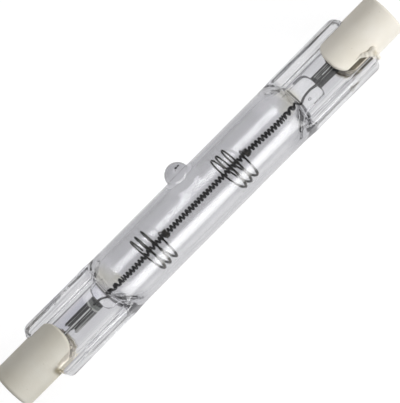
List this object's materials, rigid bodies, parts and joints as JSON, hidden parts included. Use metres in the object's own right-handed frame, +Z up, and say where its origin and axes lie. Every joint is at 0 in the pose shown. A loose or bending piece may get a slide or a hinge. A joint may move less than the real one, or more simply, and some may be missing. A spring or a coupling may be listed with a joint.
{
  "type": "linear halogen bulb",
  "caption": "Double-ended lamp: a clear quartz tube pinched flat at both ends, with a coiled filament inside and slotted ceramic end caps with recessed contacts.",
  "frame": {"origin": "middle of the lamp, midway between the outer ends of its caps, on its axis", "axes": "+X along the lamp, towards the end with the longer pocket in its pinch; +Y across the flat pinches; +Z up from their upper faces, on the side of the exhaust tip"},
  "size_m": [0.0782, 0.0108, 0.0111],
  "materials": {
    "quartz": "clear, fire polished",
    "tungsten": "drawn wire, dark",
    "molybdenum": "rolled, dull",
    "ceramic": "unglazed, matte",
    "contact_metal": "nickel plated",
    "cement": "matte, porous"
  },
  "bodies": {
    "root": {"quartz_envelope": "quartz", "filament": "tungsten", "filament_support_left": "tungsten", "filament_support_right": "tungsten", "foil_left": "molybdenum", "foil_right": "molybdenum", "outer_lead_left": "molybdenum", "outer_lead_right": "molybdenum", "ceramic_cap_left": "ceramic", "ceramic_cap_right": "ceramic", "contact_left": "contact_metal", "contact_right": "contact_metal", "cement_left": "cement", "cement_right": "cement"}
  },
  "joints": []
}
